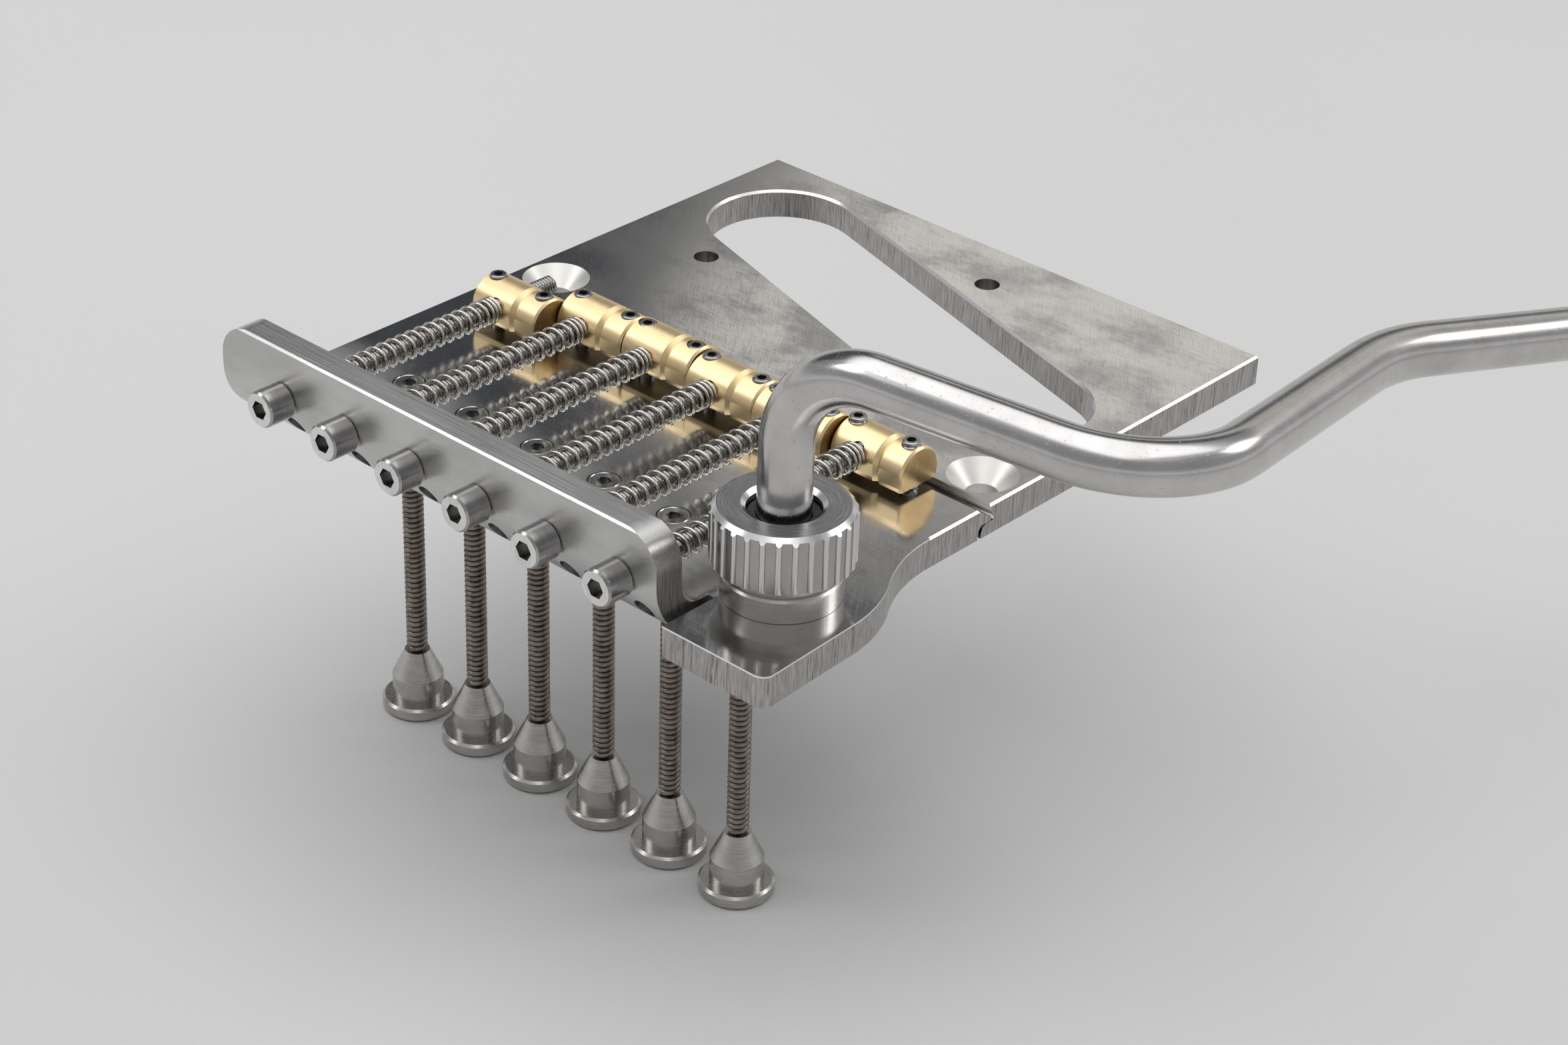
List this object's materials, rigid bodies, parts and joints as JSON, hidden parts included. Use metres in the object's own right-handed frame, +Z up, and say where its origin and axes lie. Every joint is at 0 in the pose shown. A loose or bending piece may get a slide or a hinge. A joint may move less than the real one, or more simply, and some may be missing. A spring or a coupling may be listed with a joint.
{
  "type": "guitar tremolo bridge",
  "caption": "Guitar bridge whose rear plate tilts on a knife edge, with brass barrel saddles, springs below and a bent tremolo arm.",
  "frame": {"origin": "midway between the two body screw holes, on the underside of the plates", "axes": "+X to the treble side, +Y towards the neck, +Z up from the guitar's top"},
  "size_m": [0.1386, 0.1543, 0.077],
  "materials": {
    "plates": "polished on top, brushed edges",
    "saddles": "turned, satin",
    "height_screws": "turned, satin",
    "intonation_screws": "turned, satin",
    "intonation_springs": "drawn wire",
    "tension_springs": "drawn wire, brownish",
    "ferrules": "turned, bright",
    "anchor_screws": "turned, satin",
    "arm_post": "turned, satin",
    "knurled_nut": "turned, satin face and polished chamfer",
    "arm_bush": "dark",
    "tremolo_arm": "satin with fine pits"
  },
  "bodies": {
    "base": {"fixed_plate": "plates", "tension_spring_1": "tension_springs", "tension_spring_2": "tension_springs", "tension_spring_3": "tension_springs", "tension_spring_4": "tension_springs", "tension_spring_5": "tension_springs", "tension_spring_6": "tension_springs", "ferrule_1": "ferrules", "ferrule_2": "ferrules", "ferrule_3": "ferrules", "ferrule_4": "ferrules", "ferrule_5": "ferrules", "ferrule_6": "ferrules"},
    "rocker": {"tilting_plate": "plates", "anchor_screws": "anchor_screws", "arm_post": "arm_post", "intonation_spring_1": "intonation_springs", "intonation_spring_2": "intonation_springs", "intonation_spring_3": "intonation_springs", "intonation_spring_4": "intonation_springs", "intonation_spring_5": "intonation_springs", "intonation_spring_6": "intonation_springs"},
    "intonation_screw_1": {"intonation_screw_1": "intonation_screws"},
    "saddle_1": {"saddle_1": "saddles"},
    "height_screw_1_bass": {"height_screw_1_bass": "height_screws"},
    "height_screw_1_treble": {"height_screw_1_treble": "height_screws"},
    "intonation_screw_2": {"intonation_screw_2": "intonation_screws"},
    "saddle_2": {"saddle_2": "saddles"},
    "height_screw_2_bass": {"height_screw_2_bass": "height_screws"},
    "height_screw_2_treble": {"height_screw_2_treble": "height_screws"},
    "intonation_screw_3": {"intonation_screw_3": "intonation_screws"},
    "saddle_3": {"saddle_3": "saddles"},
    "height_screw_3_bass": {"height_screw_3_bass": "height_screws"},
    "height_screw_3_treble": {"height_screw_3_treble": "height_screws"},
    "intonation_screw_4": {"intonation_screw_4": "intonation_screws"},
    "saddle_4": {"saddle_4": "saddles"},
    "height_screw_4_bass": {"height_screw_4_bass": "height_screws"},
    "height_screw_4_treble": {"height_screw_4_treble": "height_screws"},
    "intonation_screw_5": {"intonation_screw_5": "intonation_screws"},
    "saddle_5": {"saddle_5": "saddles"},
    "height_screw_5_bass": {"height_screw_5_bass": "height_screws"},
    "height_screw_5_treble": {"height_screw_5_treble": "height_screws"},
    "intonation_screw_6": {"intonation_screw_6": "intonation_screws"},
    "saddle_6": {"saddle_6": "saddles"},
    "height_screw_6_bass": {"height_screw_6_bass": "height_screws"},
    "height_screw_6_treble": {"height_screw_6_treble": "height_screws"},
    "knurled_nut": {"knurled_nut": "knurled_nut"},
    "arm_bush": {"arm_bush": "arm_bush"},
    "tremolo_arm": {"tremolo_arm": "tremolo_arm"}
  },
  "joints": [
    {"name": "rocker_tilt", "type": "hinge", "parent": "base", "child": "rocker", "pos_m": [0, -0.00466, 0.00202], "axis": [-1, 0, 0], "range_deg": [0, 8], "stiffness_Nm_per_rad": 20, "springref_deg": -2.86, "deforming": ["tension_spring_1", "tension_spring_2", "tension_spring_3", "tension_spring_4", "tension_spring_5", "tension_spring_6"]},
    {"name": "intonation_screw_1_turn", "type": "hinge", "parent": "rocker", "child": "intonation_screw_1", "pos_m": [-0.02895, -0.05, 0.0071], "axis": [0, 1, 0], "range_deg": [-3840, 3520]},
    {"name": "saddle_1_slide", "type": "slide", "parent": "rocker", "child": "saddle_1", "axis": [0, 1, 0], "range_m": [-0.0044, 0.0048], "deforming": ["intonation_spring_1"]},
    {"name": "height_screw_1_bass_travel", "type": "slide", "parent": "saddle_1", "child": "height_screw_1_bass", "axis": [0, 0, 1], "range_m": [0, 0.002]},
    {"name": "height_screw_1_treble_travel", "type": "slide", "parent": "saddle_1", "child": "height_screw_1_treble", "axis": [0, 0, 1], "range_m": [0, 0.002]},
    {"name": "intonation_screw_2_turn", "type": "hinge", "parent": "rocker", "child": "intonation_screw_2", "pos_m": [-0.01815, -0.05, 0.0071], "axis": [0, 1, 0], "range_deg": [-880, 6480]},
    {"name": "saddle_2_slide", "type": "slide", "parent": "rocker", "child": "saddle_2", "axis": [0, 1, 0], "range_m": [-0.0081, 0.0011], "deforming": ["intonation_spring_2"]},
    {"name": "height_screw_2_bass_travel", "type": "slide", "parent": "saddle_2", "child": "height_screw_2_bass", "axis": [0, 0, 1], "range_m": [0, 0.002]},
    {"name": "height_screw_2_treble_travel", "type": "slide", "parent": "saddle_2", "child": "height_screw_2_treble", "axis": [0, 0, 1], "range_m": [0, 0.002]},
    {"name": "intonation_screw_3_turn", "type": "hinge", "parent": "rocker", "child": "intonation_screw_3", "pos_m": [-0.00735, -0.05, 0.0071], "axis": [0, 1, 0], "range_deg": [-880, 6480]},
    {"name": "saddle_3_slide", "type": "slide", "parent": "rocker", "child": "saddle_3", "axis": [0, 1, 0], "range_m": [-0.0081, 0.0011], "deforming": ["intonation_spring_3"]},
    {"name": "height_screw_3_bass_travel", "type": "slide", "parent": "saddle_3", "child": "height_screw_3_bass", "axis": [0, 0, 1], "range_m": [0, 0.002]},
    {"name": "height_screw_3_treble_travel", "type": "slide", "parent": "saddle_3", "child": "height_screw_3_treble", "axis": [0, 0, 1], "range_m": [0, 0.002]},
    {"name": "intonation_screw_4_turn", "type": "hinge", "parent": "rocker", "child": "intonation_screw_4", "pos_m": [0.00345, -0.05, 0.0071], "axis": [0, 1, 0], "range_deg": [-1200, 6160]},
    {"name": "saddle_4_slide", "type": "slide", "parent": "rocker", "child": "saddle_4", "axis": [0, 1, 0], "range_m": [-0.0077, 0.0015], "deforming": ["intonation_spring_4"]},
    {"name": "height_screw_4_bass_travel", "type": "slide", "parent": "saddle_4", "child": "height_screw_4_bass", "axis": [0, 0, 1], "range_m": [0, 0.002]},
    {"name": "height_screw_4_treble_travel", "type": "slide", "parent": "saddle_4", "child": "height_screw_4_treble", "axis": [0, 0, 1], "range_m": [0, 0.002]},
    {"name": "intonation_screw_5_turn", "type": "hinge", "parent": "rocker", "child": "intonation_screw_5", "pos_m": [0.01425, -0.05, 0.0071], "axis": [0, 1, 0], "range_deg": [-1440, 5920]},
    {"name": "saddle_5_slide", "type": "slide", "parent": "rocker", "child": "saddle_5", "axis": [0, 1, 0], "range_m": [-0.0074, 0.0018], "deforming": ["intonation_spring_5"]},
    {"name": "height_screw_5_bass_travel", "type": "slide", "parent": "saddle_5", "child": "height_screw_5_bass", "axis": [0, 0, 1], "range_m": [0, 0.002]},
    {"name": "height_screw_5_treble_travel", "type": "slide", "parent": "saddle_5", "child": "height_screw_5_treble", "axis": [0, 0, 1], "range_m": [0, 0.002]},
    {"name": "intonation_screw_6_turn", "type": "hinge", "parent": "rocker", "child": "intonation_screw_6", "pos_m": [0.02505, -0.05, 0.0071], "axis": [0, 1, 0], "range_deg": [-240, 7120]},
    {"name": "saddle_6_slide", "type": "slide", "parent": "rocker", "child": "saddle_6", "axis": [0, 1, 0], "range_m": [-0.0089, 0.0003], "deforming": ["intonation_spring_6"]},
    {"name": "height_screw_6_bass_travel", "type": "slide", "parent": "saddle_6", "child": "height_screw_6_bass", "axis": [0, 0, 1], "range_m": [0, 0.002]},
    {"name": "height_screw_6_treble_travel", "type": "slide", "parent": "saddle_6", "child": "height_screw_6_treble", "axis": [0, 0, 1], "range_m": [0, 0.002]},
    {"name": "knurled_nut_turn", "type": "hinge", "parent": "rocker", "child": "knurled_nut", "pos_m": [0.0355, -0.0346, 0.011], "axis": [0, 0, 1], "range_deg": [0, 1080]},
    {"name": "arm_swivel", "type": "hinge", "parent": "rocker", "child": "arm_bush", "pos_m": [0.0355, -0.0346, 0.01], "axis": [0, 0, 1], "continuous": true},
    {"name": "arm_lift_out", "type": "slide", "parent": "arm_bush", "child": "tremolo_arm", "axis": [0, 0, 1], "range_m": [0, 0.0125]}
  ],
  "couplings": [
    {"joint": "intonation_screw_1_turn", "follows": "saddle_1_slide", "rad_per_m": -13963},
    {"joint": "intonation_screw_2_turn", "follows": "saddle_2_slide", "rad_per_m": -13963},
    {"joint": "intonation_screw_3_turn", "follows": "saddle_3_slide", "rad_per_m": -13963},
    {"joint": "intonation_screw_4_turn", "follows": "saddle_4_slide", "rad_per_m": -13963},
    {"joint": "intonation_screw_5_turn", "follows": "saddle_5_slide", "rad_per_m": -13963},
    {"joint": "intonation_screw_6_turn", "follows": "saddle_6_slide", "rad_per_m": -13963}
  ]
}
